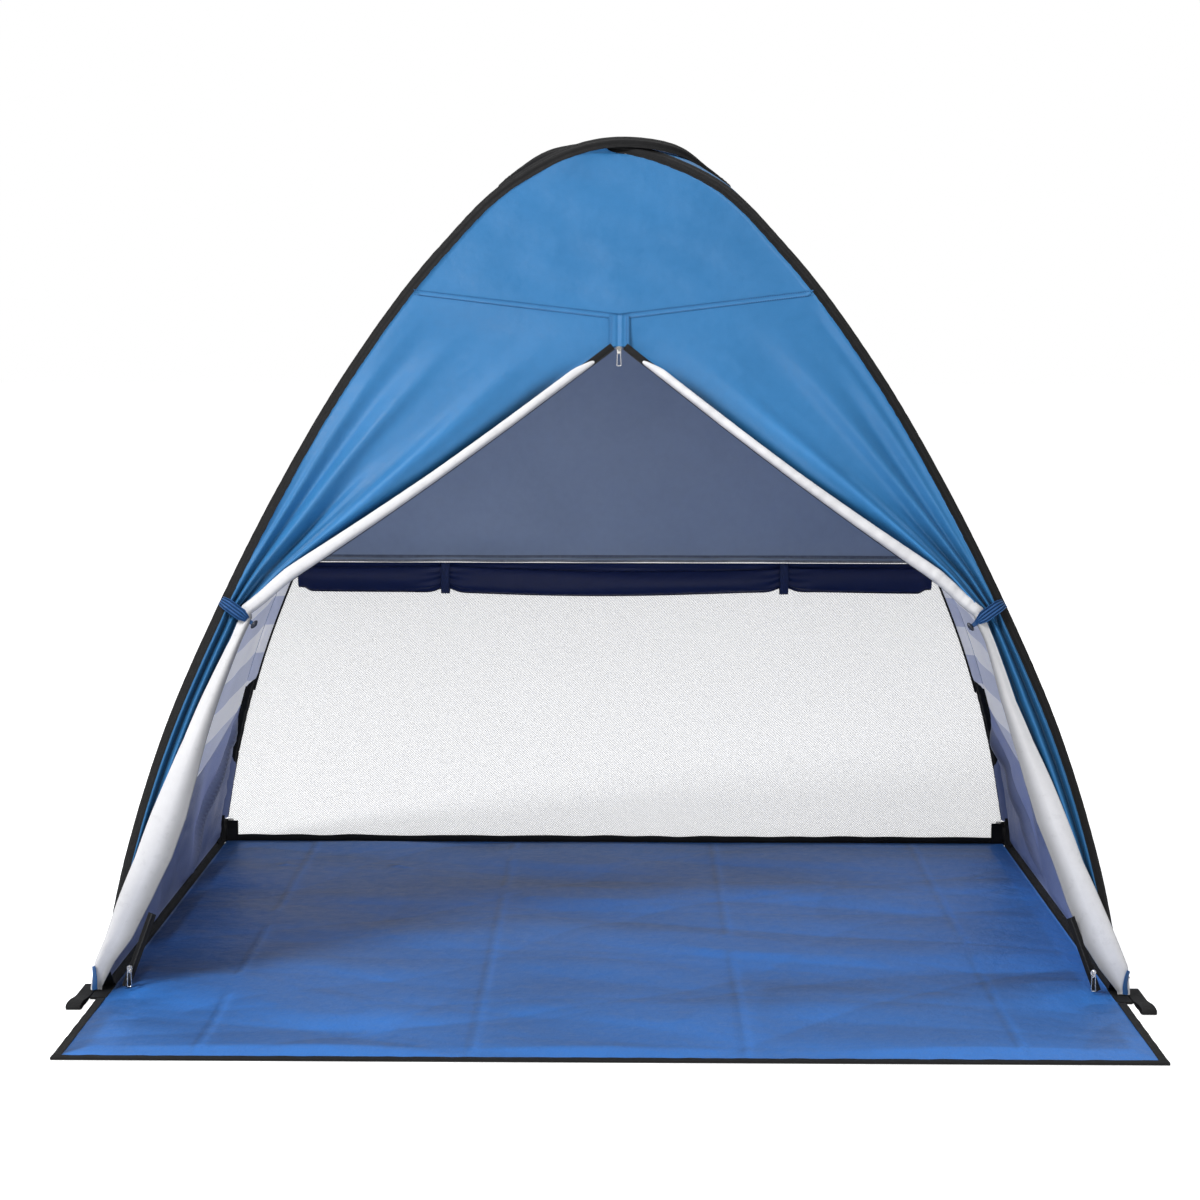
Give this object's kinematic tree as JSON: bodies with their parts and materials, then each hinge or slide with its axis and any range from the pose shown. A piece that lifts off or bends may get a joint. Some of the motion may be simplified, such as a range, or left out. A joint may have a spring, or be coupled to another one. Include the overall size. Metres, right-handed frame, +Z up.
{
  "type": "beach tent",
  "caption": "Dome beach tent on crossing spring-wire loops, with tied-back door halves, a mesh rear window under a rolled flap, a cloth floor with an apron, and peg loops.",
  "frame": {"origin": "on the ground at the middle of the footprint", "axes": "+Z up, the doorway toward -Y, +X to the right when looking into the doorway"},
  "size_m": [1.7248, 1.614, 1.4025],
  "materials": {
    "blue_cloth": "woven polyester, blue outside, silver-white coated inside",
    "striped_cloth": "woven polyester, pale diagonal stripes",
    "navy_cloth": "woven polyester, navy",
    "floor_cloth": "coated woven polyester, blue",
    "mesh": "fine white mesh",
    "black_tape": "black woven tape",
    "piping": "grey piping",
    "steel": "plain spring steel and plated zip parts",
    "toggle": "dark moulded plastic"
  },
  "bodies": {
    "tent": {"crown_panel": "blue_cloth", "floor_sheet": "floor_cloth", "front_header_panel": "blue_cloth", "left_door": "blue_cloth", "left_floor_binding": "black_tape", "left_foot_zip_slider": "steel", "left_foot_zip_tape": "black_tape", "left_hoop_ferrule": "steel", "left_hoop_sleeve": "black_tape", "left_hoop_wire": "steel", "left_side_lower_panel": "blue_cloth", "left_side_upper_panel": "striped_cloth", "left_tie_strap": "blue_cloth", "left_zip_tape": "black_tape", "rear_floor_binding": "black_tape", "rear_piping": "piping", "rear_upper_panel": "navy_cloth", "rear_window_mesh": "mesh", "right_door": "blue_cloth", "right_floor_binding": "black_tape", "right_foot_zip_slider": "steel", "right_foot_zip_tape": "black_tape", "right_hoop_ferrule": "steel", "right_hoop_sleeve": "black_tape", "right_hoop_wire": "steel", "right_side_lower_panel": "blue_cloth", "right_side_upper_panel": "striped_cloth", "right_tie_strap": "blue_cloth", "right_zip_tape": "black_tape", "zip_placket": "blue_cloth", "zip_slider": "steel"},
    "apron": {"apron_sheet": "floor_cloth", "apron_front_binding": "black_tape", "left_apron_binding": "black_tape", "right_apron_binding": "black_tape"},
    "window_roll": {"window_flap_roll": "navy_cloth", "left_flap_tie": "navy_cloth", "right_flap_tie": "navy_cloth"},
    "zip_pull": {"zip_pull": "steel"},
    "left_foot_pull": {"left_foot_zip_pull": "steel"},
    "right_foot_pull": {"right_foot_zip_pull": "steel"},
    "left_front_loop": {"left_front_peg_loop": "black_tape"},
    "right_front_loop": {"right_front_peg_loop": "black_tape"},
    "left_rear_loop": {"left_rear_peg_loop": "black_tape"},
    "right_rear_loop": {"right_rear_peg_loop": "black_tape"},
    "left_toggle": {"left_tie_toggle": "toggle"},
    "right_toggle": {"right_tie_toggle": "toggle"}
  },
  "joints": [
    {"name": "apron_fold", "type": "hinge", "parent": "tent", "child": "apron", "pos_m": [0, -0.467, 0.0028], "axis": [-1, 0, 0], "range_deg": [0, 90]},
    {"name": "window_roll_swing", "type": "hinge", "parent": "tent", "child": "window_roll", "pos_m": [0, 0.67624, 0.60161], "axis": [-1, 0, 0], "range_deg": [0, 30]},
    {"name": "zip_pull_swing", "type": "hinge", "parent": "tent", "child": "zip_pull", "pos_m": [0.01, -0.17677, 1.03731], "axis": [-1, 0, 0], "range_deg": [0, 100]},
    {"name": "left_foot_pull_swing", "type": "hinge", "parent": "tent", "child": "left_foot_pull", "pos_m": [-0.77845, -0.43807, 0.03945], "axis": [-1, 0, 0], "range_deg": [0, 100]},
    {"name": "right_foot_pull_swing", "type": "hinge", "parent": "tent", "child": "right_foot_pull", "pos_m": [0.77845, -0.43807, 0.03945], "axis": [-1, 0, 0], "range_deg": [0, 100]},
    {"name": "left_front_loop_lift", "type": "hinge", "parent": "tent", "child": "left_front_loop", "pos_m": [-0.8504, -0.382, 0], "axis": [-1, 0, 0], "range_deg": [0, 90]},
    {"name": "right_front_loop_lift", "type": "hinge", "parent": "tent", "child": "right_front_loop", "pos_m": [0.8504, -0.382, 0], "axis": [-1, 0, 0], "range_deg": [0, 90]},
    {"name": "left_rear_loop_fold", "type": "hinge", "parent": "tent", "child": "left_rear_loop", "pos_m": [-0.811, 0.807, 0], "axis": [-1, 0, 0], "range_deg": [0, 90]},
    {"name": "right_rear_loop_fold", "type": "hinge", "parent": "tent", "child": "right_rear_loop", "pos_m": [0.811, 0.807, 0], "axis": [-1, 0, 0], "range_deg": [0, 90]},
    {"name": "left_toggle_spin", "type": "hinge", "parent": "tent", "child": "left_toggle", "pos_m": [-0.58661, -0.31782, 0.59067], "axis": [-0.5727, -0.2316, -0.7864], "range_deg": [-180, 180]},
    {"name": "right_toggle_spin", "type": "hinge", "parent": "tent", "child": "right_toggle", "pos_m": [0.58661, -0.31782, 0.59067], "axis": [-0.5727, 0.2316, 0.7864], "range_deg": [-180, 180]}
  ]
}
